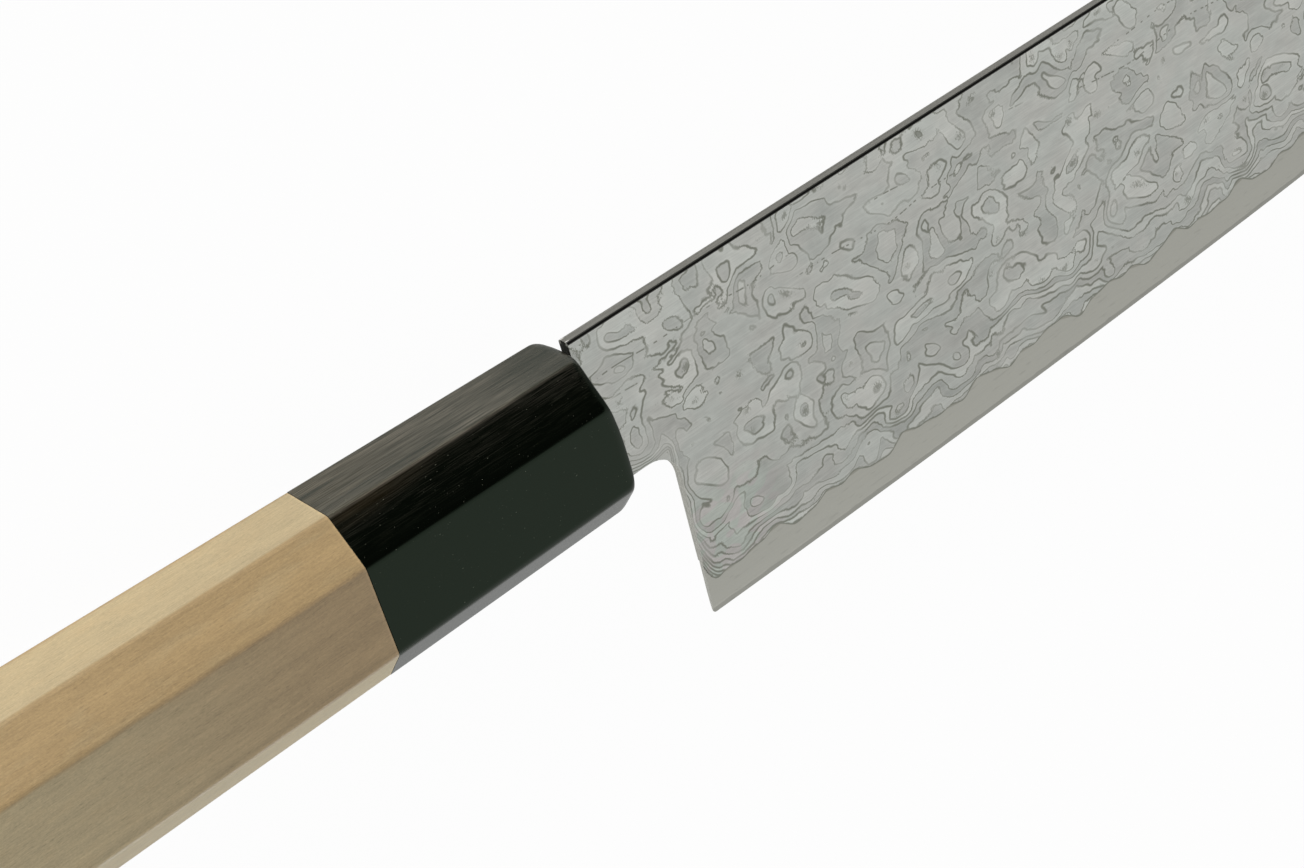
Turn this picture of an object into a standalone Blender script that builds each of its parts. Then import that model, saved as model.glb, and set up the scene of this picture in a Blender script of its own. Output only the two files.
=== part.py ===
"""Santoku kitchen knife with a laminated blade and an octagonal wooden handle.

The knife lies on its left side: +X runs to the tip, +Y to the spine and +Z up
out of the blade's right face. Every piece is drawn in the handle's own frame,
whose origin is the middle of the ferrule's domed front, and hangs on one empty
that moves this frame so that the knife's box stands on the world's origin.
"""

import bpy
import bmesh
from math import acos, asin, cos, exp, hypot, pi, sin
from mathutils import Vector
from mathutils.geometry import delaunay_2d_cdt

MM = 0.001

# Handle: an octagon that widens towards the butt
FERRULE_LENGTH = 36 * MM
WOOD_LENGTH = 100 * MM
FRONT_HEIGHT = 21.4 * MM
FRONT_WIDTH = 17.4 * MM
HEIGHT_GAIN = 0.028
WIDTH_GAIN = 0.030
FACET_HEIGHT = 5.0 * MM
FACET_WIDTH = 4.7 * MM
FACET_GAIN = 0.004
FERRULE_EDGE_RADIUS = 0.55 * MM
WOOD_EDGE_RADIUS = 0.9 * MM
MOUTH_RADIUS = 0.45 * MM
MOUTH_CORNER_RADIUS = 4 * MM
MOUTH_BLEND = 1.5 * MM
MOUTH_DOME_RADIUS = 80 * MM
MOUTH_FLAT_INSET = 4.5 * MM
BUTT_RADIUS = 1.8 * MM
JOINT_CHAMFER = 0.1 * MM
JOINT_GAP = 0.05 * MM

# Dowel that joins ferrule and wood, and the bores that it is glued into
DOWEL_DIAMETER = 14 * MM
DOWEL_IN_WOOD = 20 * MM
DOWEL_CHAMFER = 0.8 * MM
FERRULE_FRONT_WALL = 5 * MM
DOWEL_CLEARANCE = 0.15 * MM
DOWEL_END_GAP = 0.3 * MM

# Blade profile, seen square to its right face
BLADE_LENGTH = 180 * MM
BLADE_HEIGHT = 46 * MM
SPINE_ABOVE_AXIS = 11 * MM
SHOULDER_GAP = 0.5 * MM
NECK_LENGTH = 8.7 * MM
NECK_HEIGHT = 20.5 * MM
CHOIL_RADIUS = 2 * MM
HEEL_RADIUS = 0.5 * MM
HEEL_LEAN = 0.7 * MM
EDGE_RADIUS = 2940 * MM
BELLY_START = 110 * MM
BELLY_RADIUS = 610 * MM
NOSE_LENGTH = 48 * MM

# Blade section
SPINE_THICKNESS = 1.86 * MM
LENGTH_TAPER = 0.0016
HEIGHT_TAPER = 0.0187
SPINE_EASE = 0.3 * MM
GRIND_HEIGHT = 16 * MM
BACK_OF_EDGE = 0.4 * MM
BEVEL_HEIGHT = 1.05 * MM
EDGE_LAND = 0.02 * MM

# Layers: a hard core between two patterned claddings, ground back to a wavy line
CORE_THICKNESS = 0.58 * MM
LAMINATE_GAP = 0.02 * MM
CLADDING_LIP = 0.02 * MM
WAVE_HEIGHT = 2.3 * MM
WAVE_LENGTH = 13 * MM
RIGHT_PHASE = 2.7
LEFT_PHASE = 0.4
HEEL_LIFT = 4.5 * MM
HEEL_LIFT_RUN = 0.6 * MM

# Tang and the resin that beds it
TANG_LENGTH = 92 * MM
TANG_ROOT_HEIGHT = 11 * MM
TANG_END_HEIGHT = 7 * MM
TANG_ROOT_RADIUS = 0.4 * MM
TANG_END_RADIUS = 1.5 * MM
TANG_END_GAP = 2 * MM
BEDDING_GAP = 0.05 * MM
BEDDING_WALL = 0.45 * MM
BEDDING_RECESS = 0.4 * MM

# Fineness of the faceted surfaces
EDGE_STEP = 4 * MM
WAVE_STEP = 1.5 * MM
ROW_STEP = 1.2 * MM
CORNER_POINTS = 3
ROUND_POINTS = 5
DOME_STEP = 2 * MM
FILLET_POINTS = 5
DOWEL_SIDES = 40
SHARP_ANGLE = 0.6
OVERCUT = 1 * MM
MERGE = 1e-7

HANDLE_LENGTH = FERRULE_LENGTH + WOOD_LENGTH
SHOULDER_X = SHOULDER_GAP
HEEL_X = SHOULDER_X + NECK_LENGTH
TIP_X = HEEL_X + BLADE_LENGTH
SPINE_Y = SPINE_ABOVE_AXIS
NECK_Y = SPINE_Y - NECK_HEIGHT
HEEL_Y = SPINE_Y - BLADE_HEIGHT
NOSE_X = TIP_X - NOSE_LENGTH
TANG_END_X = SHOULDER_X - TANG_LENGTH


def clear_scene():
    for obj in list(bpy.data.objects):
        bpy.data.objects.remove(obj)


def material(name, color, roughness, metallic=0.0):
    made = bpy.data.materials.new(name)
    made.use_nodes = True
    shader = made.node_tree.nodes["Principled BSDF"]
    shader.inputs["Base Color"].default_value = (*color, 1.0)
    shader.inputs["Roughness"].default_value = roughness
    shader.inputs["Metallic"].default_value = metallic
    return made


def add_object(name, bm, parent, surface=None):
    """The bmesh as a named object under the parent. Without a surface it is a cutter."""
    bmesh.ops.recalc_face_normals(bm, faces=bm.faces)
    if bm.calc_volume(signed=True) < 0:
        bmesh.ops.reverse_faces(bm, faces=bm.faces)
    mesh = bpy.data.meshes.new(name)
    bm.to_mesh(mesh)
    bm.free()
    mesh.shade_smooth()
    mesh.set_sharp_from_angle(angle=SHARP_ANGLE)
    obj = bpy.data.objects.new(name, mesh)
    bpy.context.scene.collection.objects.link(obj)
    obj.parent = parent
    if surface:
        mesh.materials.append(surface)
    else:
        obj.hide_render = True
        obj.display_type = "WIRE"
    return obj


def cut(obj, cutter):
    boolean = obj.modifiers.new("cut_" + cutter.name, "BOOLEAN")
    boolean.operation = "DIFFERENCE"
    boolean.solver = "EXACT"
    boolean.object = cutter


def loft(sections):
    """One closed body through sections of as many points each, with flat ends."""
    bm = bmesh.new()
    rings = [[bm.verts.new(point) for point in section] for section in sections]
    for ring, following in zip(rings, rings[1:]):
        for i, vertex in enumerate(ring):
            j = (i + 1) % len(ring)
            bm.faces.new((vertex, ring[j], following[j], following[i]))
    bm.faces.new(rings[0])
    bm.faces.new(rings[-1])
    return bm


# Handle sections

def handle_size(x):
    """Height, width and the diagonal facet's two extents at x, which is 0 at the front."""
    back = -x
    return (
        FRONT_HEIGHT + HEIGHT_GAIN * back,
        FRONT_WIDTH + WIDTH_GAIN * back,
        FACET_HEIGHT + FACET_GAIN * back,
        FACET_WIDTH + FACET_GAIN * back,
    )


def octagon_corners(x):
    height, width, facet_height, facet_width = handle_size(x)
    top = height / 2
    side = width / 2
    top_half = side - facet_width
    side_half = top - facet_height
    upper = [Vector((side_half, side)), Vector((top, top_half))]
    quarter = upper + [Vector((y, -z)) for y, z in reversed(upper)]
    return quarter + [Vector((-y, -z)) for y, z in quarter]


def outward(a, b):
    """Unit normal that points out of an octagon from its side a to b."""
    along = (b - a).normalized()
    normal = Vector((-along.y, along.x))
    return normal if normal.dot(a + b) > 0 else -normal


def rounded_corner(corners, i, inset, radius):
    """Points round one corner of the octagon, with its sides moved in by inset."""
    before = outward(corners[i - 1], corners[i])
    after = outward(corners[i], corners[(i + 1) % len(corners)])
    centre = corners[i] - (inset + radius) * (before + after) / (1 + before.dot(after))
    turn = acos(before.dot(after))
    points = []
    for k in range(CORNER_POINTS):
        share = k / (CORNER_POINTS - 1)
        normal = (before * sin((1 - share) * turn) + after * sin(share * turn)) / sin(turn)
        points.append(centre + radius * normal)
    return points


def handle_section(x, inset, radius):
    """The rounded octagon at x, with a point in the middle of each side as well."""
    corners = octagon_corners(x)
    arcs = [rounded_corner(corners, i, inset, radius) for i in range(len(corners))]
    points = []
    for here, following in zip(arcs, arcs[1:] + arcs[:1]):
        points += here
        points.append((here[-1] + following[0]) / 2)
    return [(x, y, z) for y, z in points]


def rounded_end(face_x, direction, rim_radius, corner_radius):
    """Sections that round the rim of an end face at face_x, from the face inwards."""
    sections = []
    for k in range(ROUND_POINTS):
        angle = pi / 2 * (1 - k / (ROUND_POINTS - 1))
        inset = rim_radius * (1 - cos(angle))
        x = face_x - direction * rim_radius * (1 - sin(angle))
        sections.append(handle_section(x, inset, corner_radius))
    return sections


def domed(section):
    """The section drawn back on a sphere whose top is the middle of the ferrule's front."""
    return [(x - (y * y + z * z) / (2 * MOUTH_DOME_RADIUS), y, z) for x, y, z in section]


def mouth_section(inset):
    """The front's outline moved in by inset, with corners that keep their centres."""
    radius = MOUTH_CORNER_RADIUS + MOUTH_RADIUS - inset
    return handle_section(0, inset, max(FERRULE_EDGE_RADIUS, radius))


def domed_mouth():
    """Sections of the ferrule's front: a small flat, the dome, the round rim and its blend.

    The rim stops short of the facets' own level, so each facet ends on the straight line
    where the blend starts, and the knife can lie on that line without rocking.
    """
    insets = spread(MOUTH_FLAT_INSET, MOUTH_RADIUS, DOME_STEP)[1:-1]
    rim = rounded_end(0, 1, MOUTH_RADIUS, MOUTH_CORNER_RADIUS)
    sections = [mouth_section(MOUTH_FLAT_INSET)]
    sections += [domed(mouth_section(inset)) for inset in insets]
    sections += [domed(section) for section in rim[:-1]]
    return sections + [handle_section(-MOUTH_BLEND, 0, FERRULE_EDGE_RADIUS)]


def chamfered_end(face_x, direction, corner_radius):
    """Two sections that break the edge of a glued end face."""
    face = handle_section(face_x, JOINT_CHAMFER, corner_radius)
    body = handle_section(face_x - direction * JOINT_CHAMFER, 0, corner_radius)
    return [face, body]


def build_ferrule(parent, cutters):
    back = chamfered_end(-FERRULE_LENGTH, -1, FERRULE_EDGE_RADIUS)
    horn = material("horn", (0.012, 0.014, 0.012), 0.18)
    ferrule = add_object("ferrule", loft(domed_mouth() + back[::-1]), parent, horn)
    for cutter in cutters:
        cut(ferrule, cutter)


def build_wood(parent, cutters):
    front = chamfered_end(-FERRULE_LENGTH - JOINT_GAP, 1, WOOD_EDGE_RADIUS)
    back = rounded_end(-HANDLE_LENGTH, -1, BUTT_RADIUS, WOOD_EDGE_RADIUS)
    pale_wood = material("pale_wood", (0.58, 0.42, 0.25), 0.55)
    wood = add_object("wooden_handle", loft(front + back[::-1]), parent, pale_wood)
    for cutter in cutters:
        cut(wood, cutter)


# Dowel

def rod(radius, front_x, back_x, chamfer):
    """A round rod along X with chamfered ends."""
    stations = [
        (front_x, radius - chamfer),
        (front_x - chamfer, radius),
        (back_x + chamfer, radius),
        (back_x, radius - chamfer),
    ]
    if chamfer == 0:
        stations = [stations[0], stations[-1]]
    sections = []
    for x, r in stations:
        angles = [2 * pi * k / DOWEL_SIDES for k in range(DOWEL_SIDES)]
        sections.append([(x, r * cos(a), r * sin(a)) for a in angles])
    return loft(sections)


def dowel_bore(parent):
    radius = DOWEL_DIAMETER / 2 + DOWEL_CLEARANCE
    front_x = -FERRULE_FRONT_WALL
    back_x = -FERRULE_LENGTH - JOINT_GAP - DOWEL_IN_WOOD
    return add_object("dowel_bore", rod(radius, front_x, back_x, 0), parent)


def build_dowel(parent, cutter):
    front_x = -FERRULE_FRONT_WALL - DOWEL_END_GAP
    back_x = -FERRULE_LENGTH - JOINT_GAP - DOWEL_IN_WOOD + DOWEL_END_GAP
    shape = rod(DOWEL_DIAMETER / 2, front_x, back_x, DOWEL_CHAMFER)
    beech = material("dowel_wood", (0.62, 0.45, 0.28), 0.7)
    cut(add_object("dowel", shape, parent, beech), cutter)


# Blade outline

def edge_y(x):
    """Height of the cutting edge: a long shallow arc and a rounder belly near the tip."""
    run = x - HEEL_X
    belly = max(0.0, run - BELLY_START)
    return HEEL_Y + run * run / (2 * EDGE_RADIUS) + belly * belly / (2 * BELLY_RADIUS)


NOSE_DROP = SPINE_Y - edge_y(TIP_X)
NOSE_RADIUS = (NOSE_LENGTH**2 + NOSE_DROP**2) / (2 * NOSE_DROP)
NOSE_CENTRE_Y = SPINE_Y - NOSE_RADIUS


def spine_y(x):
    """The spine: level, then the round nose that falls to the tip."""
    run = max(0.0, x - NOSE_X)
    return NOSE_CENTRE_Y + (NOSE_RADIUS**2 - run**2) ** 0.5


def below_spine(x, y):
    """How far a point lies inside the spine or the nose."""
    if x <= NOSE_X:
        return SPINE_Y - y
    return NOSE_RADIUS - hypot(x - NOSE_X, y - NOSE_CENTRE_Y)


def flat_half(x, y):
    """Half the thickness of the blade's blank, which tapers to the tip and to the edge."""
    along = LENGTH_TAPER * max(0.0, x - SHOULDER_X)
    return (SPINE_THICKNESS - along - HEIGHT_TAPER * (SPINE_Y - y)) / 2


def half_thickness(x, y):
    """Half the blade's thickness: the blank, a convex grind, the edge's bevel and the eased spine."""
    half = flat_half(x, y)
    if x < SHOULDER_X:
        return half
    low = edge_y(max(x, HEEL_X))
    rise = max(0.0, y - low)
    ground = (GRIND_HEIGHT - max(rise, BEVEL_HEIGHT)) / (GRIND_HEIGHT - BEVEL_HEIGHT)
    half -= (flat_half(x, low + BEVEL_HEIGHT) - BACK_OF_EDGE / 2) * max(0.0, ground) ** 2
    if x >= HEEL_X and rise < BEVEL_HEIGHT:
        half = (EDGE_LAND + (BACK_OF_EDGE - EDGE_LAND) * rise / BEVEL_HEIGHT) / 2
    return half - min(max(0.0, SPINE_EASE - below_spine(x, y)), half / 3)


def bisect(test, low, high):
    """The value between low and high where the test stops being true."""
    for _ in range(40):
        middle = (low + high) / 2
        if test(middle):
            low = middle
        else:
            high = middle
    return low


def cladding_y(x, phase):
    """Lower limit of a cladding: where it is just thick enough to end, and a wave above it.

    It turns up along the heel.
    """
    thin = (CORE_THICKNESS / 2) + LAMINATE_GAP + CLADDING_LIP
    low = edge_y(x)
    start = bisect(lambda y: half_thickness(x, y) < thin, low, low + GRIND_HEIGHT)
    turn = 2 * pi * (x - HEEL_X) / WAVE_LENGTH + phase
    wave = sin(turn) + 0.6 * sin(1.73 * turn + 2 * phase) + 0.4 * sin(2.9 * turn + 1.3)
    lift = HEEL_LIFT * exp(-(x - HEEL_X) / HEEL_LIFT_RUN)
    return start + WAVE_HEIGHT * (0.5 + wave / 4) + lift


def spread(start, end, step):
    """Evenly spaced values from start to end, both included, no further apart than step."""
    count = max(1, round(abs(end - start) / step))
    return [start + (end - start) * k / count for k in range(count + 1)]


def arc(centre_x, centre_y, radius, start, end, count):
    angles = [start + (end - start) * k / (count - 1) for k in range(count)]
    return [(centre_x + radius * cos(a), centre_y + radius * sin(a)) for a in angles]


def tang_half_height(x):
    share = (SHOULDER_X - x) / TANG_LENGTH
    return (TANG_ROOT_HEIGHT + (TANG_END_HEIGHT - TANG_ROOT_HEIGHT) * share) / 2


def nose_end(lower_line):
    """Where the nose comes down to the lower line of a layer."""
    if spine_y(TIP_X) >= lower_line(TIP_X):
        return TIP_X
    return bisect(lambda x: spine_y(x) > lower_line(x), NOSE_X, TIP_X)


def back_outline():
    """Shoulder and tang, from the spine's end round to the neck's."""
    fillet = min(TANG_ROOT_RADIUS, 0.8 * SHOULDER_GAP)
    root_x = SHOULDER_X - fillet
    root = tang_half_height(SHOULDER_X) + fillet
    upper_root = arc(root_x, root, fillet, 0, -pi / 2, FILLET_POINTS)
    end_x = TANG_END_X + TANG_END_RADIUS
    end = tang_half_height(TANG_END_X) - TANG_END_RADIUS
    upper_end = arc(end_x, end, TANG_END_RADIUS, pi / 2, pi, FILLET_POINTS)
    upper = [(SHOULDER_X, SPINE_Y)] + upper_root + upper_end
    lower = [(x, -y) for x, y in reversed(upper_root + upper_end)]
    return upper + lower + [(SHOULDER_X, NECK_Y)]


def choil_outline():
    """The round inner corner between neck and heel, a little further on than the heel."""
    centre_x = HEEL_X + HEEL_LEAN - CHOIL_RADIUS
    centre_y = NECK_Y - CHOIL_RADIUS
    return arc(centre_x, centre_y, CHOIL_RADIUS, pi / 2, 0, FILLET_POINTS)


def heel_outline(lower_line):
    """The heel's corner, rounded where it is the edge's own."""
    if lower_line is not edge_y:
        share = (lower_line(HEEL_X) - HEEL_Y) / (NECK_Y - CHOIL_RADIUS - HEEL_Y)
        x = HEEL_X + HEEL_LEAN * share
        return [(x, lower_line(x))]
    centre_x = HEEL_X + HEEL_RADIUS
    centre_y = HEEL_Y + HEEL_RADIUS
    return arc(centre_x, centre_y, HEEL_RADIUS, pi, 3 * pi / 2, FILLET_POINTS)


def nose_outline(end_x, inset):
    """The nose from its end up to the level spine, at some distance inside it."""
    radius = NOSE_RADIUS - inset
    turn = asin(min(1.0, (end_x - NOSE_X) / radius))
    count = 1 + round(turn * NOSE_RADIUS / EDGE_STEP)
    return arc(NOSE_X, NOSE_CENTRE_Y, radius, pi / 2 - turn, pi / 2, count)


def layer_outline(lower_line, step):
    """Outline of one layer, which ends below at its lower line."""
    end_x = nose_end(lower_line)
    corner = heel_outline(lower_line)
    xs = spread(corner[-1][0], end_x, step)[1:-1]
    lower = [(x, lower_line(x)) for x in xs]
    return back_outline() + choil_outline() + corner + lower + nose_outline(end_x, 0)


def ease_line(end_x):
    """The inner limit of the eased spine, from the nose to the shoulder."""
    reach = end_x - 2 * SPINE_EASE
    return nose_outline(reach, SPINE_EASE) + [(SHOULDER_X, SPINE_Y - SPINE_EASE)]


def grind_points(lower_line, rises, margin):
    """Points on the ground surface, in rows that follow the edge."""
    points = []
    for x in spread(HEEL_X + margin, TIP_X - margin, EDGE_STEP):
        for rise in rises:
            y = edge_y(x) + rise
            if y > lower_line(x) + margin and below_spine(x, y) > margin + SPINE_EASE:
                points.append((x, y))
    return points


def bevel_line():
    """The line where the edge's bevel begins, from near the heel to near the tip."""
    line = []
    for x in spread(HEEL_X + BEVEL_HEIGHT, TIP_X, EDGE_STEP):
        y = edge_y(x) + BEVEL_HEIGHT
        if below_spine(x, y) > BEVEL_HEIGHT:
            line.append((x, y))
    return line


def layer(outline, crease, inner_points, upper, lower):
    """A closed body over the outline, between two heights that depend on x and y."""
    flat_points = outline + crease + inner_points
    last = len(outline)
    ring = [(i, (i + 1) % last) for i in range(last)]
    fold = [(last + i, last + i + 1) for i in range(len(crease) - 1)]
    made = delaunay_2d_cdt(
        [Vector(p) for p in flat_points], ring + fold, [list(range(last))], 1, MERGE
    )
    spots, triangles = made[0], made[2]
    bm = bmesh.new()
    top = [bm.verts.new((x, y, upper(x, y))) for x, y in spots]
    bottom = [bm.verts.new((x, y, lower(x, y))) for x, y in spots]
    for corners in triangles:
        bm.faces.new([top[i] for i in corners])
        bm.faces.new([bottom[i] for i in reversed(corners)])
    sides = {}
    for corners in triangles:
        for a, b in zip(corners, corners[1:] + corners[:1]):
            sides[frozenset((a, b))] = (a, b) if frozenset((a, b)) not in sides else None
    for side in filter(None, sides.values()):
        a, b = side
        bm.faces.new((top[b], top[a], bottom[a], bottom[b]))
    loose = [v for v in bm.verts if not v.link_faces]
    bmesh.ops.delete(bm, geom=loose, context="VERTS")
    return bm


def build_core(parent):
    rows = spread(BEVEL_HEIGHT, GRIND_HEIGHT / 2, ROW_STEP)[1:]
    inner = grind_points(edge_y, rows, BEVEL_HEIGHT)

    def upper(x, y):
        return min(CORE_THICKNESS / 2, half_thickness(x, y))

    steel = material("core_steel", (0.42, 0.41, 0.38), 0.3, 1.0)
    outline = layer_outline(edge_y, EDGE_STEP)
    shape = layer(outline, bevel_line(), inner, upper, lambda x, y: -upper(x, y))
    add_object("blade_core", shape, parent, steel)


def build_cladding(name, side, phase, parent, steel):
    def lower_line(x):
        return cladding_y(x, phase)

    inner_face = CORE_THICKNESS / 2 + LAMINATE_GAP

    def outer_face(x, y):
        return max(inner_face + CLADDING_LIP, half_thickness(x, y))

    rows = spread(GRIND_HEIGHT / 2, GRIND_HEIGHT, 2 * ROW_STEP)
    inner = grind_points(lower_line, rows, WAVE_STEP / 2)
    outline = layer_outline(lower_line, WAVE_STEP)
    ease = ease_line(nose_end(lower_line))
    shape = layer(
        outline,
        ease,
        inner,
        lambda x, y: side * outer_face(x, y),
        lambda x, y: side * inner_face,
    )
    add_object(name, shape, parent, steel)


def build_blade(parent):
    build_core(parent)
    steel = material("patterned_steel", (0.36, 0.37, 0.36), 0.38, 1.0)
    build_cladding("right_cladding", 1, RIGHT_PHASE, parent, steel)
    build_cladding("left_cladding", -1, LEFT_PHASE, parent, steel.copy())


# Tang slot and the resin in it

def tang_block(front_x, margin, end_margin):
    """A tapered block around the tang, larger than it by a margin all round."""
    sections = []
    for x in (front_x, TANG_END_X):
        half_height = tang_half_height(x) + margin
        half_width = SPINE_THICKNESS / 2 + margin
        reach = x if x == front_x else x - end_margin
        sections.append([
            (reach, half_height, half_width),
            (reach, half_height, -half_width),
            (reach, -half_height, -half_width),
            (reach, -half_height, half_width),
        ])
    return loft(sections)


def tang_slot(parent):
    margin = 2 * BEDDING_GAP + BEDDING_WALL
    return add_object("tang_slot", tang_block(OVERCUT, margin, TANG_END_GAP), parent)


def build_bedding(parent):
    outer_margin = BEDDING_GAP + BEDDING_WALL
    end = TANG_END_GAP - BEDDING_GAP
    resin = material("resin", (0.55, 0.42, 0.2), 0.4)
    shape = tang_block(-BEDDING_RECESS, outer_margin, end)
    bedding = add_object("tang_bedding", shape, parent, resin)
    hollow = tang_block(OVERCUT, BEDDING_GAP, BEDDING_GAP)
    cut(bedding, add_object("bedding_hollow", hollow, parent))


def place_frame():
    """An empty that sets the middle of the knife's box over the origin, on the ground."""
    butt_height, butt_width = handle_size(-HANDLE_LENGTH)[:2]
    middle_x = (TIP_X - HANDLE_LENGTH) / 2
    top_y = max(SPINE_Y, butt_height / 2 - HEIGHT_GAIN * BUTT_RADIUS / 2)
    middle_y = (top_y + HEEL_Y) / 2
    lowest_z = -(butt_width / 2 - WIDTH_GAIN * BUTT_RADIUS / 2)
    frame = bpy.data.objects.new("knife", None)
    bpy.context.scene.collection.objects.link(frame)
    frame.location = (-middle_x, -middle_y, -lowest_z)
    return frame


def main():
    clear_scene()
    frame = place_frame()
    bore = dowel_bore(frame)
    slot = tang_slot(frame)
    build_blade(frame)
    build_ferrule(frame, (bore, slot))
    build_wood(frame, (bore, slot))
    build_dowel(frame, slot)
    build_bedding(frame)


main()
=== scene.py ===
"""Looks of the santoku knife: fine surfaces, patterned steel, horn and pale wood.

Sizes are in metres. Shapes are worked out in the knife's own frame, whose origin is the
middle of the ferrule's domed front: +X to the tip, +Y to the spine, +Z out of the right face.
"""

from math import acos, asin, cos, exp, hypot, pi, sin, sqrt

import bpy
from mathutils import Matrix, Vector
from mathutils.geometry import delaunay_2d_cdt


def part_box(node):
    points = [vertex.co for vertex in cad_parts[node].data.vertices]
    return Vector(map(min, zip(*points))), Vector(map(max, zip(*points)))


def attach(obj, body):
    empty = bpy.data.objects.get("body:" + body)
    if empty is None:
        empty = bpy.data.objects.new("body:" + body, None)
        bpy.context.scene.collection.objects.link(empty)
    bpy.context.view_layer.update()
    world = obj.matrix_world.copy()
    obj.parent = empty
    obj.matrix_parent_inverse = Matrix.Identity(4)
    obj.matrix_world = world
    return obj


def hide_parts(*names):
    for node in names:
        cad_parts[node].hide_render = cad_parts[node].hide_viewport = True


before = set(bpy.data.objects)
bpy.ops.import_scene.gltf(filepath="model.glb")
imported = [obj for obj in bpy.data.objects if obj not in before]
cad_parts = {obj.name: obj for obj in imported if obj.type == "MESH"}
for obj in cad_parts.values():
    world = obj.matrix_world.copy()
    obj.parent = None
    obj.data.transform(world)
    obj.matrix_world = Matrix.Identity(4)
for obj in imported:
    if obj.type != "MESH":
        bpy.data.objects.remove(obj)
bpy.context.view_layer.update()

MM = 0.001

# Handle: the construction's sizes, with rounder edges and a mouth that follows the photo closer
FERRULE_LENGTH = 36 * MM
WOOD_LENGTH = 100 * MM
FRONT_HEIGHT = 21.4 * MM
FRONT_WIDTH = 17.4 * MM
HEIGHT_GAIN = 0.028
WIDTH_GAIN = 0.030
FACET_HEIGHT = 5.0 * MM
FACET_WIDTH = 4.7 * MM
FACET_GAIN = 0.004
FERRULE_EDGE_RADIUS = 0.5 * MM
FERRULE_UPPER_RADIUS = 1.6 * MM
FERRULE_LOWER_RADIUS = 1.8 * MM
WOOD_EDGE_RADIUS = 1.0 * MM
MOUTH_RADIUS = 0.38 * MM
MOUTH_ROLL = 1.3 * MM
ROLL_POWER = 3
MOUTH_UPPER_RADIUS = 3 * MM
MOUTH_LOWER_RADIUS = 6 * MM
MOUTH_BLEND = 3.3 * MM
MOUTH_DOME_RADIUS = 80 * MM
MOUTH_TALL_RADIUS = 250 * MM
UPPER_CORNER_DROP = 0.48 * MM
UPPER_CORNER_REACH = 7.25 * MM
MOUTH_FLAT_INSET = 4.5 * MM
BUTT_RADIUS = 1.8 * MM
JOINT_CHAMFER = 0.04 * MM
JOINT_GAP = 0.05 * MM
BORE_DIAMETER = 14.3 * MM
BORE_IN_WOOD = 20 * MM
FERRULE_FRONT_WALL = 5 * MM
SLOT_MARGIN = 0.55 * MM
SLOT_END_GAP = 2 * MM

# Corners of the octagon at its side facets' upper and lower edges
UPPER_EDGES = (0, 3)
LOWER_EDGES = (4, 7)

# Blade: the construction's sizes, with a spine, neck, choil and heel that follow the photo closer
BLADE_LENGTH = 180 * MM
BLADE_HEIGHT = 46.2 * MM
SPINE_Y = 11.2 * MM
SHOULDER_X = 0.5 * MM
NECK_LENGTH = 8.7 * MM
NECK_HEIGHT = 20.9 * MM
CHOIL_RADIUS = 4 * MM
HEEL_RADIUS = 0.5 * MM
HEEL_LEAN = 1.0 * MM
EDGE_RADIUS = 2940 * MM
BELLY_START = 110 * MM
BELLY_RADIUS = 610 * MM
NOSE_LENGTH = 48 * MM
SPINE_THICKNESS = 1.86 * MM
LENGTH_TAPER = 0.0016
HEIGHT_TAPER = 0.0187
SPINE_EASE = 0.36 * MM
GRIND_HEIGHT = 16 * MM
BACK_OF_EDGE = 0.4 * MM
BEVEL_HEIGHT = 1.05 * MM
EDGE_LAND = 0.02 * MM
CORE_THICKNESS = 0.58 * MM
LAMINATE_GAP = 0.02 * MM
CLADDING_LIP = 0.02 * MM
WAVE_HEIGHT = 2.3 * MM
WAVE_LENGTH = 13 * MM
SECOND_WAVE = 0.6
SECOND_RATE = 1.73
THIRD_WAVE = 0.4
THIRD_RATE = 2.9
THIRD_START = 1.3
HEEL_LIFT = 4.5 * MM
HEEL_LIFT_RUN = 0.6 * MM
RIGHT_PHASE = 2.7
LEFT_PHASE = 0.4
TANG_LENGTH = 92 * MM
TANG_ROOT_HEIGHT = 11 * MM
TANG_END_HEIGHT = 7 * MM
TANG_ROOT_RADIUS = 0.4 * MM
TANG_END_RADIUS = 1.5 * MM

# Fineness of the surfaces
CORNER_POINTS = 7
SIDE_POINTS = 3
ROUND_POINTS = 9
DOME_STEP = 0.8 * MM
BORE_SIDES = 64
EDGE_STEP = 2 * MM
WAVE_STEP = 0.4 * MM
ROW_STEP = 1 * MM
EASE_ROWS = 5
FILLET_POINTS = 9
OVERCUT = 1 * MM
MERGE = 1e-7
HALVINGS = 40
EASE_REACH = 1.01 * SPINE_EASE
SLOPE_PROBE = 0.005 * MM
PROBE_INSET = 0.05
SHARP_ANGLE = 0.6

# Material slots of a blade's layer
FACE_SLOT = 0
RIM_SLOT = 1
EASE_SLOT = 2
SPINE_SLOT = 3

HANDLE_LENGTH = FERRULE_LENGTH + WOOD_LENGTH
HEEL_X = SHOULDER_X + NECK_LENGTH
TIP_X = HEEL_X + BLADE_LENGTH
NECK_Y = SPINE_Y - NECK_HEIGHT
HEEL_Y = SPINE_Y - BLADE_HEIGHT
NOSE_X = TIP_X - NOSE_LENGTH
TANG_END_X = SHOULDER_X - TANG_LENGTH

FERRULE_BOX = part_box("ferrule")
WOOD_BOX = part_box("wooden_handle")
ORIGIN = Vector((
    FERRULE_BOX[1].x,
    (WOOD_BOX[0].y + WOOD_BOX[1].y) / 2,
    (WOOD_BOX[0].z + WOOD_BOX[1].z) / 2,
))


# Nodes

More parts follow.
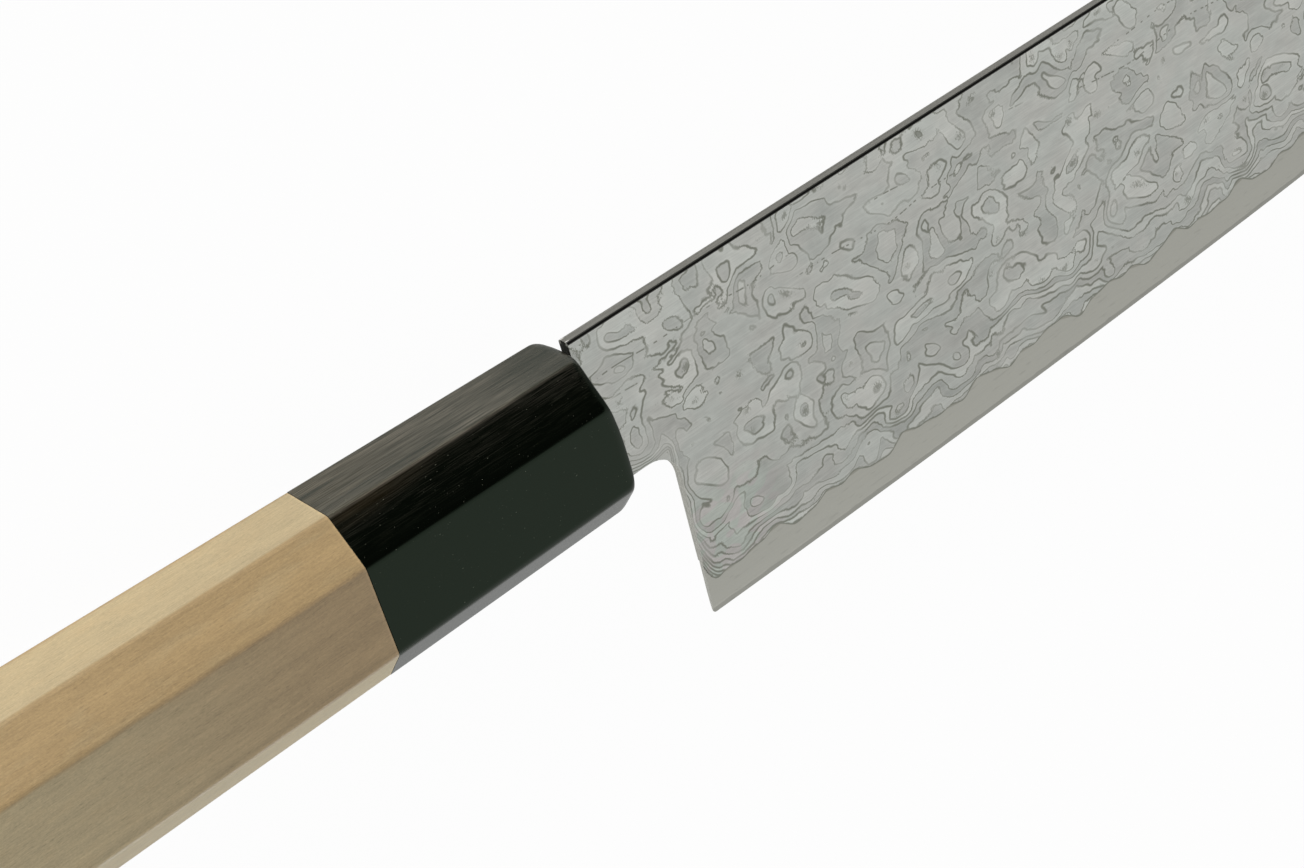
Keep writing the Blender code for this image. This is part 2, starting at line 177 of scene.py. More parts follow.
class Shade:
    """A node tree, with short calls for the nodes that the materials are made of."""

    def __init__(self, tree):
        self.tree = tree

    def put(self, socket, value):
        if isinstance(value, bpy.types.NodeSocket):
            self.tree.links.new(value, socket)
        elif socket.type == "RGBA":
            socket.default_value = (*value, 1.0)
        else:
            socket.default_value = value

    def fill(self, node, inputs):
        """Sets a node's inputs, or links them, by name or number."""
        for name, value in inputs.items():
            self.put(node.inputs[name], value)

    def node(self, kind, inputs, **settings):
        made = self.tree.nodes.new("ShaderNode" + kind)
        for name, value in settings.items():
            setattr(made, name, value)
        self.fill(made, inputs)
        return made

    def math(self, operation, *values, clamp=False):
        made = self.node("Math", dict(enumerate(values)), operation=operation, use_clamp=clamp)
        return made.outputs[0]

    def minus(self, first, second, clamp=False):
        return self.math("SUBTRACT", first, second, clamp=clamp)

    def over(self, first, second):
        return self.math("DIVIDE", first, second)

    def abs(self, value):
        return self.math("ABSOLUTE", value)

    def squared(self, value):
        return self.math("MULTIPLY", value, value)

    def times(self, product, *factors):
        for factor in factors:
            product = self.math("MULTIPLY", product, factor)
        return product

    def largest(self, found, *others):
        for other in others:
            found = self.math("MAXIMUM", found, other)
        return found

    def added(self, total, *terms):
        """The total plus each term's value times its amount."""
        for value, amount in terms:
            total = self.math("MULTIPLY_ADD", value, amount, total)
        return total

    def vector(self, operation, *values):
        return self.node("VectorMath", dict(enumerate(values)), operation=operation).outputs[0]

    def toward(self, direction, aim):
        """Cosine of the angle between a direction and a fixed one."""
        inputs = {0: direction, 1: tuple(aim.normalized())}
        return self.node("VectorMath", inputs, operation="DOT_PRODUCT").outputs["Value"]

    def combine(self, x, y, z=0.0):
        return self.node("CombineXYZ", {0: x, 1: y, 2: z}).outputs[0]

    def separate(self, place):
        return self.node("SeparateXYZ", {0: place}).outputs

    def attribute(self, name):
        return self.node("Attribute", {}, attribute_name=name).outputs["Fac"]

    def stretch(self, place, sizes, seed):
        """The place in units of the sizes, in millimetres along x, y and z."""
        scaled = self.vector("MULTIPLY", place, tuple(1 / size for size in sizes))
        return self.vector("ADD", scaled, (seed, seed, seed))

    def plain_noise(self, place, detail=0.0, roughness=0.5):
        inputs = {"Vector": place, "Scale": 1.0, "Detail": detail, "Roughness": roughness}
        return self.node("TexNoise", inputs, noise_dimensions="3D").outputs[0]

    def noise(self, place, sizes, seed=0.0, **settings):
        """Noise about 0.5, with blots of about those sizes in millimetres."""
        return self.plain_noise(self.stretch(place, sizes, seed), **settings)

    def centred(self, place, sizes, seed=0.0, **settings):
        """The same noise about 0."""
        return self.minus(self.noise(place, sizes, seed, **settings), 0.5)

    def cells(self, place, sizes, seed, smoothness):
        """Distance to the middle of the nearest cell."""
        place = self.stretch(place, sizes, seed)
        inputs = {"Vector": place, "Scale": 1.0, "Smoothness": smoothness}
        return self.node("TexVoronoi", inputs, feature="SMOOTH_F1").outputs[0]

    def remap(self, value, low, high, to_low=0.0, to_high=1.0):
        """A smooth step from to_low to to_high as the value goes from low to high."""
        inputs = {0: value, 1: low, 2: high, 3: to_low, 4: to_high}
        return self.node("MapRange", inputs, interpolation_type="SMOOTHSTEP").outputs[0]

    def fade(self, value, low, high):
        """A smooth step from 1 down to 0."""
        return self.minus(1.0, self.remap(value, low, high))

    def mix(self, factor, first, second):
        inputs = {0: factor, 6: first, 7: second}
        return self.node("Mix", inputs, data_type="RGBA").outputs[2]

    def brighten(self, color, factor):
        """The colour times a factor that varies over the surface."""
        inputs = {0: color, "Scale": factor}
        return self.node("VectorMath", inputs, operation="SCALE").outputs[0]

    def bump(self, height, depth):
        inputs = {"Height": height, "Distance": depth, "Strength": 1.0}
        return self.node("Bump", inputs).outputs[0]


def new_material(name):
    made = bpy.data.materials.new(name)
    made.use_nodes = True
    return made, Shade(made.node_tree), made.node_tree.nodes["Principled BSDF"]


def knife_place(s):
    """The point in the knife's own frame, in millimetres."""
    found = s.node("TexCoord", {}).outputs["Object"]
    local = s.vector("SUBTRACT", found, tuple(ORIGIN))
    return s.vector("MULTIPLY", local, (1 / MM, 1 / MM, 1 / MM))


# Handle shapes

def handle_size(x):
    """Height, width and a diagonal facet's height and width at x, which is 0 at the front."""
    return (
        FRONT_HEIGHT - HEIGHT_GAIN * x,
        FRONT_WIDTH - WIDTH_GAIN * x,
        FACET_HEIGHT - FACET_GAIN * x,
        FACET_WIDTH - FACET_GAIN * x,
    )


def octagon_corners(x):
    height, width, facet_height, facet_width = handle_size(x)
    top = height / 2
    side = width / 2
    upper = [Vector((top - facet_height, side)), Vector((top, side - facet_width))]
    quarter = upper + [Vector((y, -z)) for y, z in reversed(upper)]
    return quarter + [Vector((-y, -z)) for y, z in quarter]


def outward(a, b):
    along = (b - a).normalized()
    normal = Vector((-along.y, along.x))
    return normal if normal.dot(a + b) > 0 else -normal


def edge_radii(plain, upper, lower):
    """Radius of each of the octagon's edges: those of the side facets may differ."""
    radii = [plain] * 8
    for i in UPPER_EDGES:
        radii[i] = upper
    for i in LOWER_EDGES:
        radii[i] = lower
    return radii


def rounded_corner(corners, i, inset, radius):
    before = outward(corners[i - 1], corners[i])
    after = outward(corners[i], corners[(i + 1) % len(corners)])
    centre = corners[i] - (inset + radius) * (before + after) / (1 + before.dot(after))
    turn = acos(before.dot(after))
    points = []
    for k in range(CORNER_POINTS):
        share = k / (CORNER_POINTS - 1)
        normal = (before * sin((1 - share) * turn) + after * sin(share * turn)) / sin(turn)
        points.append(centre + radius * normal)
    return points


FERRULE_RADII = edge_radii(FERRULE_EDGE_RADIUS, FERRULE_UPPER_RADIUS, FERRULE_LOWER_RADIUS)
MOUTH_RADII = edge_radii(MOUTH_UPPER_RADIUS, MOUTH_UPPER_RADIUS, MOUTH_LOWER_RADIUS)
WOOD_RADII = [WOOD_EDGE_RADIUS] * 8


def handle_section(x, inset, radii):
    """The rounded octagon at x, with some points along each side as well."""
    corners = octagon_corners(x)
    arcs = [rounded_corner(corners, i, inset, radius) for i, radius in enumerate(radii)]
    points = []
    for here, following in zip(arcs, arcs[1:] + arcs[:1]):
        points += here
        for k in range(1, SIDE_POINTS + 1):
            points.append(here[-1].lerp(following[0], k / (SIDE_POINTS + 1)))
    return [Vector((x, y, z)) for y, z in points]


def quarter_turns():
    return [pi / 2 * (1 - k / (ROUND_POINTS - 1)) for k in range(ROUND_POINTS)]


def rounded_butt():
    sections = []
    for angle in quarter_turns():
        inset = BUTT_RADIUS * (1 - cos(angle))
        x = -HANDLE_LENGTH + BUTT_RADIUS * (1 - sin(angle))
        sections.append(handle_section(x, inset, WOOD_RADII))
    return sections


def dome_drop(y, z):
    """How far the front lies back: a dome with its upper corners ground back."""
    dome = y * y / (2 * MOUTH_TALL_RADIUS) + z * z / (2 * MOUTH_DOME_RADIUS)
    corner = max(0.0, y) * z / UPPER_CORNER_REACH**2
    return dome + UPPER_CORNER_DROP * corner * corner


def domed(section):
    return [Vector((p.x - dome_drop(p.y, p.z), p.y, p.z)) for p in section]


def mouth_section(inset):
    radii = [max(FERRULE_EDGE_RADIUS, radius + MOUTH_RADIUS - inset) for radius in MOUTH_RADII]
    return handle_section(0, inset, radii)


def rolled_rim():
    """Sections that roll the facets into the front over a longer way than they drop."""
    sections = []
    for angle in quarter_turns():
        inset = MOUTH_RADIUS * (1 - cos(angle))
        share = sin(angle)**ROLL_POWER
        radii = [a + share * (b - a) for a, b in zip(FERRULE_RADII, MOUTH_RADII)]
        sections.append(handle_section(-MOUTH_ROLL * (1 - sin(angle)), inset, radii))
    return sections


def domed_mouth():
    insets = spread(MOUTH_FLAT_INSET, MOUTH_RADIUS, DOME_STEP)[1:-1]
    sections = [mouth_section(MOUTH_FLAT_INSET)]
    sections += [domed(mouth_section(inset)) for inset in insets]
    sections += [domed(section) for section in rolled_rim()]
    return sections + [handle_section(-MOUTH_BLEND, 0, FERRULE_RADII)]


def chamfered_end(face_x, direction, radii):
    face = handle_section(face_x, JOINT_CHAMFER, radii)
    body = handle_section(face_x - direction * JOINT_CHAMFER, 0, radii)
    return [face, body]


def loft(name, sections):
    """A closed mesh through sections of as many points each, in the world's place."""
    size = len(sections[0])
    points = [ORIGIN + point for section in sections for point in section]
    faces = []
    for row in range(len(sections) - 1):
        for i in range(size):
            j = (i + 1) % size
            a, b = row * size + i, row * size + j
            faces.append((a, b, b + size, a + size))
    faces.append(tuple(reversed(range(size))))
    faces.append(tuple(range(len(points) - size, len(points))))
    mesh = bpy.data.meshes.new(name)
    mesh.from_pydata(points, [], faces)
    mesh.shade_smooth()
    return mesh


def add_object(name, data, *materials):
    obj = bpy.data.objects.new(name, data)
    bpy.context.scene.collection.objects.link(obj)
    for material in materials:
        data.materials.append(material)
    return obj


def stand_in(piece, node, slot):
    """Puts a piece in the place of its CAD node."""
    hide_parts(node)
    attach(piece, "root")


def rod(radius, front_x, back_x):
    angles = [2 * pi * k / BORE_SIDES for k in range(BORE_SIDES)]
    round_end = [(radius * cos(a), radius * sin(a)) for a in angles]
    return [[Vector((x, y, z)) for y, z in round_end] for x in (front_x, back_x)]


def tang_half_height(x):
    share = (SHOULDER_X - x) / TANG_LENGTH
    return (TANG_ROOT_HEIGHT + (TANG_END_HEIGHT - TANG_ROOT_HEIGHT) * share) / 2


def tang_block():
    """The tapered slot round the tang."""
    half_width = SPINE_THICKNESS / 2 + SLOT_MARGIN
    signs = ((1, 1), (1, -1), (-1, -1), (-1, 1))
    sections = []
    for x, reach in ((OVERCUT, OVERCUT), (TANG_END_X, TANG_END_X - SLOT_END_GAP)):
        half_height = tang_half_height(x) + SLOT_MARGIN
        sections.append([Vector((reach, a * half_height, b * half_width)) for a, b in signs])
    return sections


def outside_in(mesh):
    """Turns a mesh whose faces point inwards."""
    volume = 0.0
    for face in mesh.polygons:
        volume += face.area * face.normal.dot(face.center - ORIGIN)
    if volume < 0:
        mesh.flip_normals()


def carve(obj, cutters):
    """Cuts the bores out of a lofted piece, and lets its large faces set the shading."""
    outside_in(obj.data)
    for cutter in cutters:
        outside_in(cutter.data)
        boolean = obj.modifiers.new(cutter.name, "BOOLEAN")
        boolean.operation = "DIFFERENCE"
        boolean.solver = "EXACT"
        boolean.object = cutter
    weighted = obj.modifiers.new("weighted", "WEIGHTED_NORMAL")
    weighted.keep_sharp = True
    weighted.weight = 100
    evaluated = obj.evaluated_get(bpy.context.evaluated_depsgraph_get())
    carved = bpy.data.meshes.new_from_object(evaluated)
    obj.modifiers.clear()
    obj.data = carved


def build_handle(ferrule_look, wood_look):
    bore_back = -FERRULE_LENGTH - JOINT_GAP - BORE_IN_WOOD
    bore = rod(BORE_DIAMETER / 2, -FERRULE_FRONT_WALL, bore_back)
    cutters = [
        add_object("bore_cutter", loft("bore_cutter", bore)),
        add_object("slot_cutter", loft("slot_cutter", tang_block())),
    ]
    ferrule_back = chamfered_end(-FERRULE_LENGTH, -1, FERRULE_RADII)
    ferrule = loft("ferrule_horn", domed_mouth() + ferrule_back[::-1])
    wood_front = chamfered_end(-FERRULE_LENGTH - JOINT_GAP, 1, WOOD_RADII)
    wood = loft("octagonal_wood", wood_front + rounded_butt()[::-1])
    for mesh, material, node, slot in (
        (ferrule, ferrule_look, "ferrule", "horn"),
        (wood, wood_look, "wooden_handle", "pale_wood"),
    ):
        piece = add_object(mesh.name, mesh, material)
        carve(piece, cutters)
        stand_in(piece, node, slot)
    for cutter in cutters:
        bpy.data.objects.remove(cutter)


# Blade shapes

def edge_y(x):
    """Height of the cutting edge: a long shallow arc and a rounder belly near the tip."""
    run = x - HEEL_X
    belly = max(0.0, run - BELLY_START)
    return HEEL_Y + run * run / (2 * EDGE_RADIUS) + belly * belly / (2 * BELLY_RADIUS)


NOSE_DROP = SPINE_Y - edge_y(TIP_X)
NOSE_RADIUS = (NOSE_LENGTH**2 + NOSE_DROP**2) / (2 * NOSE_DROP)
NOSE_CENTRE_Y = SPINE_Y - NOSE_RADIUS


def spine_y(x):
    run = max(0.0, x - NOSE_X)
    return NOSE_CENTRE_Y + (NOSE_RADIUS**2 - run**2) ** 0.5


def below_spine(x, y):
    if x <= NOSE_X:
        return SPINE_Y - y
    return NOSE_RADIUS - hypot(x - NOSE_X, y - NOSE_CENTRE_Y)


def flat_half(x, y):
    along = LENGTH_TAPER * max(0.0, x - SHOULDER_X)
    return (SPINE_THICKNESS - along - HEIGHT_TAPER * (SPINE_Y - y)) / 2


def eased(x, y, half):
    """How much the round along the spine takes off: a third of the half at most."""
    share = min(1.0, 1 - below_spine(x, y) / SPINE_EASE)
    if share <= 0:
        return 0.0
    return min(SPINE_EASE * (1 - sqrt(1 - share * share)), half / 3)


def half_thickness(x, y):
    """Half the blade's thickness: the blank, a convex grind, the edge's bevel and the eased spine."""
    half = flat_half(x, y)
    if x < SHOULDER_X:
        return half
    low = edge_y(max(x, HEEL_X))
    rise = max(0.0, y - low)
    ground = (GRIND_HEIGHT - max(rise, BEVEL_HEIGHT)) / (GRIND_HEIGHT - BEVEL_HEIGHT)
    half -= (flat_half(x, low + BEVEL_HEIGHT) - BACK_OF_EDGE / 2) * max(0.0, ground) ** 2
    if x >= HEEL_X and rise < BEVEL_HEIGHT:
        half = (EDGE_LAND + (BACK_OF_EDGE - EDGE_LAND) * rise / BEVEL_HEIGHT) / 2
    return half - eased(x, y, half)


def bisect(test, low, high):
    """The value between low and high where the test stops being true."""
    for _ in range(HALVINGS):
        middle = (low + high) / 2
        if test(middle):
            low = middle
        else:
            high = middle
    return low


def cladding_y(x, phase):
    """Lower limit of a cladding: where it is just thick enough to end, and a wave above it.

    The wave is the sum of three, and lies between -2 and 2.
    """
    thin = CORE_THICKNESS / 2 + LAMINATE_GAP + CLADDING_LIP
    low = edge_y(x)
    start = bisect(lambda y: half_thickness(x, y) < thin, low, low + GRIND_HEIGHT)
    turn = 2 * pi * (x - HEEL_X) / WAVE_LENGTH + phase
    wave = sin(turn) + SECOND_WAVE * sin(SECOND_RATE * turn + 2 * phase)
    wave += THIRD_WAVE * sin(THIRD_RATE * turn + THIRD_START)
    lift = HEEL_LIFT * exp(-(x - HEEL_X) / HEEL_LIFT_RUN)
    return start + WAVE_HEIGHT * (0.5 + wave / 4) + lift


def spread(start, end, step):
    """Evenly spaced values from start to end, both included, no further apart than step."""
    count = max(1, round(abs(end - start) / step))
    return [start + (end - start) * k / count for k in range(count + 1)]


def arc(centre_x, centre_y, radius, start, end, count):
    angles = [start + (end - start) * k / (count - 1) for k in range(count)]
    return [(centre_x + radius * cos(a), centre_y + radius * sin(a)) for a in angles]


def nose_end(lower_line):
    if spine_y(TIP_X) >= lower_line(TIP_X):
        return TIP_X
    return bisect(lambda x: spine_y(x) > lower_line(x), NOSE_X, TIP_X)


def back_outline():
    """Shoulder and tang, from the spine's end round to the neck's."""
    root_x = SHOULDER_X - TANG_ROOT_RADIUS
    root = tang_half_height(SHOULDER_X) + TANG_ROOT_RADIUS
    upper_root = arc(root_x, root, TANG_ROOT_RADIUS, 0, -pi / 2, FILLET_POINTS)
    end_x = TANG_END_X + TANG_END_RADIUS
    end = tang_half_height(TANG_END_X) - TANG_END_RADIUS
    upper_end = arc(end_x, end, TANG_END_RADIUS, pi / 2, pi, FILLET_POINTS)
    upper = [(SHOULDER_X, SPINE_Y)] + upper_root + upper_end
    lower = [(x, -y) for x, y in reversed(upper_root + upper_end)]
    return upper + lower + [(SHOULDER_X, NECK_Y)]


def choil_outline():
    centre_x = HEEL_X + HEEL_LEAN - CHOIL_RADIUS
    centre_y = NECK_Y - CHOIL_RADIUS
    return arc(centre_x, centre_y, CHOIL_RADIUS, pi / 2, 0, FILLET_POINTS)


def heel_back_y(x):
    """Height of the leaning line from the choil down to the heel."""
    low = HEEL_Y + HEEL_RADIUS
    return low + (NECK_Y - CHOIL_RADIUS - low) * (x - HEEL_X) / HEEL_LEAN


def heel_back_outline(end):
    """Points between the choil and the heel's corner, so that the face keeps its curve there."""
    start = Vector(choil_outline()[-1])
    count = round((start - end).length / ROW_STEP)
    return [tuple(start.lerp(end, k / count)) for k in range(1, count)]


def heel_outline(lower_line):
    if lower_line is not edge_y:
        x = bisect(lambda x: lower_line(x) > heel_back_y(x), HEEL_X, HEEL_X + HEEL_LEAN)
        return [(x, lower_line(x))]
    centre_x = HEEL_X + HEEL_RADIUS
    centre_y = HEEL_Y + HEEL_RADIUS
    return arc(centre_x, centre_y, HEEL_RADIUS, pi, 3 * pi / 2, FILLET_POINTS)


def nose_outline(end_x, inset):
    """The nose from its end up to the level spine, at some distance inside it."""
    radius = NOSE_RADIUS - inset
    turn = asin(min(1.0, (end_x - NOSE_X) / radius))
    count = 1 + round(turn * NOSE_RADIUS / EDGE_STEP)
    return arc(NOSE_X, NOSE_CENTRE_Y, radius, pi / 2 - turn, pi / 2, count)


def layer_outline(lower_line, step):
    end_x = nose_end(lower_line)
    corner = heel_outline(lower_line)
    xs = spread(corner[-1][0], end_x, step)[1:-1]
    lower = [(x, lower_line(x)) for x in xs]
    back = back_outline() + choil_outline() + heel_back_outline(Vector(corner[0]))
    return back + corner + lower + nose_outline(end_x, 0)


def ease_lines(end_x):
    """Lines along the spine's round, from the nose to the shoulder."""
    lines = []
    for k in range(1, EASE_ROWS + 1):
        depth = SPINE_EASE * (1 - cos(pi / 2 * k / EASE_ROWS))
        reach = end_x - 2 * SPINE_EASE - depth
        lines.append(nose_outline(reach, depth) + [(SHOULDER_X, SPINE_Y - depth)])
    return lines


def bevel_line():
    line = []
    for x in spread(HEEL_X + BEVEL_HEIGHT / 2, TIP_X, EDGE_STEP):
        y = edge_y(x) + BEVEL_HEIGHT
        if below_spine(x, y) > BEVEL_HEIGHT / 2:
            line.append((x, y))
    return line


def grind_points(lower_line, rows, margin):
    """Points on the ground surface, in rows that follow the edge."""
    points = []
    for x in spread(HEEL_X + margin, TIP_X - margin, EDGE_STEP):
        for rise in rows:
            y = edge_y(x) + rise
            if y > lower_line(x) + margin and below_spine(x, y) > margin + SPINE_EASE:
                points.append((x, y))
    return points


def triangulated(outline, creases, inner_points):
    """Points and triangles that fill the outline and keep the creases."""
    points = list(outline)
    last = len(outline)
    links = [(i, (i + 1) % last) for i in range(last)]
    for line in creases:
        start = len(points)
        points += line
        links += [(start + i, start + i + 1) for i in range(len(line) - 1)]
    points += inner_points
    made = delaunay_2d_cdt([Vector(p) for p in points], links, [list(range(last))], 1, MERGE)
    return [tuple(spot) for spot in made[0]], made[2]


def side_slot(ends, lower_line):
    """Slot of a narrow side: the face's own one where it only closes the cladding's lower line."""
    if all(abs(y - lower_line(x)) <= MERGE for x, y in ends):
        return FACE_SLOT
    if max(below_spine(x, y) for x, y in ends) < MERGE:
        return SPINE_SLOT
    return RIM_SLOT


def layer(name, outline, creases, inner_points, upper, lower, lower_line):
    """A closed mesh over the outline between two heights, with exact normals on its two faces.

    The attributes hold each point's height above the lower line and above the cutting
    edge, in millimetres.
    """
    spots, triangles = triangulated(outline, creases, inner_points)
    used = sorted({i for corners in triangles for i in corners})
    index = {spot: i for i, spot in enumerate(used)}
    spots = [spots[i] for i in used]
    triangles = [[index[i] for i in corners] for corners in triangles]
    count = len(spots)
    points = [ORIGIN + Vector((x, y, upper(x, y))) for x, y in spots]
    points += [ORIGIN + Vector((x, y, lower(x, y))) for x, y in spots]
    side = 1 if points[0].z > points[count].z else -1
    faces = []
    sides = {}
    for corners in triangles:
        faces.append(corners[::side])
        faces.append([i + count for i in corners[::-side]])
        for a, b in zip(corners, corners[1:] + corners[:1]):
            key = frozenset((a, b))
            sides[key] = None if key in sides else (a, b)
    top_count = len(faces)
    for a, b in filter(None, sides.values()):
        faces.append([b, a, a + count, b + count][::side])
    mesh = bpy.data.meshes.new(name)
    mesh.from_pydata(points, [], faces)
    mesh.shade_smooth()
    for face in mesh.polygons:
        ends = [spots[i % count] for i in face.vertices]
        if face.index >= top_count:
            face.material_index = side_slot(ends, lower_line)
        elif max(below_spine(x, y) for x, y in ends) < EASE_REACH:
            face.material_index = EASE_SLOT
    set_sharp(mesh, top_count)
    set_normals(mesh, spots, top_count, upper, lower)
    for attribute, line in (("above", lower_line), ("rise", edge_y)):
        heights = [(y - line(min(max(x, HEEL_X), TIP_X))) / MM for x, y in spots]
        made = mesh.attributes.new(attribute, "FLOAT", "POINT")
        made.data.foreach_set("value", heights + heights)
    return mesh


def exact_normal(surface, place, flat):
    """The surface's normal from its slopes, on the side that the flat face looks to."""
    x, y = place
    step = SLOPE_PROBE
    slope_x = (surface(x + step, y) - surface(x - step, y)) / (2 * step)
    slope_y = (surface(x, y + step) - surface(x, y - step)) / (2 * step)
    exact = Vector((-slope_x, -slope_y, 1)).normalized()
    return exact if exact.dot(flat) > 0 else -exact


def set_normals(mesh, spots, top_count, upper, lower):
    """Exact normals on the two broad faces, from just inside each triangle's corners."""
    count = len(spots)
    normals = []
    for face in mesh.polygons:
        ends = [Vector(spots[i % count]) for i in face.vertices]
        middle = sum(ends, Vector((0, 0))) / len(ends)
        for i, end in zip(face.vertices, ends):
            if face.index >= top_count:
                normals.append(Vector((0, 0, 0)))
                continue
            surface = upper if i < count else lower
            normals.append(exact_normal(surface, end.lerp(middle, PROBE_INSET), face.normal))
    mesh.normals_split_custom_set(normals)


def set_sharp(mesh, top_count):
    """Sharp edges round the two broad faces, and where a narrow side bends."""
    around = {}
    for face in mesh.polygons:
        for key in face.edge_keys:
            around.setdefault(key, []).append(face)
    sharp = []
    for edge in mesh.edges:
        faces = around[edge.key]
        rim = [face.index >= top_count for face in faces]
        bend = faces[0].normal.dot(faces[-1].normal) < cos(SHARP_ANGLE)
        sharp.append(any(rim) and (not all(rim) or bend))
    mesh.attributes.new("sharp_edge", "BOOLEAN", "EDGE").data.foreach_set("value", sharp)


def build_core(*steels):
    def upper(x, y):
        return min(CORE_THICKNESS / 2, half_thickness(x, y))

    rows = spread(BEVEL_HEIGHT, GRIND_HEIGHT / 2, ROW_STEP)[1:]
    mesh = layer(
        "steel_core",
        layer_outline(edge_y, EDGE_STEP),
        [bevel_line()],
        grind_points(edge_y, rows, BEVEL_HEIGHT),
        upper,
        lambda x, y: -upper(x, y),
        lambda x: cladding_y(x, RIGHT_PHASE),
    )
    return add_object("steel_core", mesh, *steels)


def build_cladding(name, side, phase, *steels):
    inner_face = CORE_THICKNESS / 2 + LAMINATE_GAP

    def lower_line(x):
        return cladding_y(x, phase)

    def outer_face(x, y):
        return side * max(inner_face + CLADDING_LIP, half_thickness(x, y))

    rows = spread(GRIND_HEIGHT / 4, GRIND_HEIGHT, ROW_STEP)
    mesh = layer(
        name,
        layer_outline(lower_line, WAVE_STEP),
        ease_lines(nose_end(lower_line)),
        grind_points(lower_line, rows, ROW_STEP / 2),
        outer_face,
        lambda x, y: side * inner_face,
        lower_line,
    )
    return add_object(name, mesh, *steels)


def build_blade(looks):
    sides = [looks["rim"], looks["ease"], looks["spine"]]
    core = build_core(looks["core"], *sides)
    right = build_cladding("right_pattern", 1, RIGHT_PHASE, looks["right"], *sides)
    left = build_cladding("left_pattern", -1, LEFT_PHASE, looks["left"], *sides)
    stand_in(core, "blade_core", "core_steel")
    stand_in(right, "right_cladding", "patterned_steel")
    stand_in(left, "left_cladding", "patterned_steel")


# Patterned steel: sizes, places and widths in millimetres

LAYER_SWELL = 4.2
LAYER_RIPPLE = 1.0
LAYER_WIGGLE = 0.3
LAYER_CELLS = 2.4
LAYER_WARP = (5.5, -4.0)
LAYER_SHIFT = 0.1
GOLDEN_SHARE = 0.618
GROUND_LAYERS = 14.0
GROUND_HEIGHT = 17.0
CORNER_LAYERS = 4.5
CORNER_REACH = 2.8
SLOPE_STEP = 0.06
LEAST_SLOPE = 0.2
DASH_LINES = ((1.2, 3.0), (4.6, 5.2))
DASH_WANDER = 2.4
RIGHT_SEED = 11.0
LEFT_SEED = 47.0
STEEL_COLORS = ((0.58, 0.6, 0.57), (0.595, 0.6, 0.57))
HEEL_COLORS = ((0.53, 0.61, 0.54), (0.62, 0.56, 0.56))
HEEL_SHARE = 0.42
LINE_COLOR = (0.27, 0.28, 0.235)
LINE_SHARE = 0.88
SMUDGE_SHARE = 0.72


def shaded_rise(s, x, y):
    """Height above the cutting edge, as edge_y has it, and the run from the heel."""
    run = s.minus(x, HEEL_X / MM)
    belly = s.largest(s.minus(run, BELLY_START / MM), 0.0)
    arc_rise = s.over(s.squared(run), 2 * EDGE_RADIUS / MM)
    belly_rise = s.over(s.squared(belly), 2 * BELLY_RADIUS / MM)
    low = s.math("ADD", s.math("ADD", arc_rise, belly_rise), HEEL_Y / MM)
    return s.minus(y, low), run


def layer_field():
    """Node group: how many layers deep the ground surface lies at a place.

    The layers are wavy, so the surface cuts them along closed rings. It goes deeper
    towards the edge and round the choil's corner, where the lines run side by side.
    The second output is the distance to the middle of the nearest hammered dent.
    """
    group = bpy.data.node_groups.new("layer_field", "ShaderNodeTree")
    group.interface.new_socket("Place", in_out="INPUT", socket_type="NodeSocketVector")
    for name in ("Depth", "Dent"):
        group.interface.new_socket(name, in_out="OUTPUT", socket_type="NodeSocketFloat")
    s = Shade(group)
    place = group.nodes.new("NodeGroupInput").outputs[0]
    end = group.nodes.new("NodeGroupOutput")
    x, y, _ = s.separate(place)
    warp = s.centred(place, (7.5, 7.5, 7.5), 3.1)
    shift = s.combine(*(s.times(warp, reach) for reach in LAYER_WARP))
    warped = s.vector("ADD", place, shift)
    cells = s.cells(warped, (4.7, 3.9, 6), 2.3, smoothness=0.15)
    depth = s.added(
        s.times(s.noise(warped, (5.6, 4.9, 7)), LAYER_SWELL),
        (s.noise(warped, (2.1, 1.7, 3), 8.7), LAYER_RIPPLE),
        (s.noise(warped, (0.9, 0.7, 2), 5.3), LAYER_WIGGLE),
        (cells, LAYER_CELLS),
    )
    rise, run = shaded_rise(s, x, y)
    ground = s.largest(s.minus(1.0, s.over(rise, GROUND_HEIGHT)), 0.0)
    past_heel = s.largest(run, 0.0)
    above_neck = s.largest(s.minus(y, NECK_Y / MM), 0.0)
    squares = s.math("ADD", s.squared(past_heel), s.squared(above_neck))
    near = s.minus(1.0, s.over(s.math("SQRT", squares), CORNER_REACH), clamp=True)
    depth = s.added(
        depth,
        (s.squared(ground), GROUND_LAYERS),
        (s.squared(near), CORNER_LAYERS),
    )
    s.put(end.inputs[0], depth)
    s.put(end.inputs[1], cells)
    return group


def field_slope(s, place, group):
    """The field's depth and dents at a place, and the depth's slope from two places beside it."""
    def field_at(dx, dy):
        near_place = s.vector("ADD", place, (dx, dy, 0))
        return s.node("Group", {0: near_place}, node_tree=group).outputs

    depth, dent = field_at(0, 0)[:2]
    slope_x = s.over(s.minus(field_at(SLOPE_STEP, 0)[0], depth), SLOPE_STEP)
    slope_y = s.over(s.minus(field_at(0, SLOPE_STEP)[0], depth), SLOPE_STEP)
    slope = s.math("SQRT", s.added(s.squared(slope_x), (slope_y, slope_y)))
    return depth, dent, slope


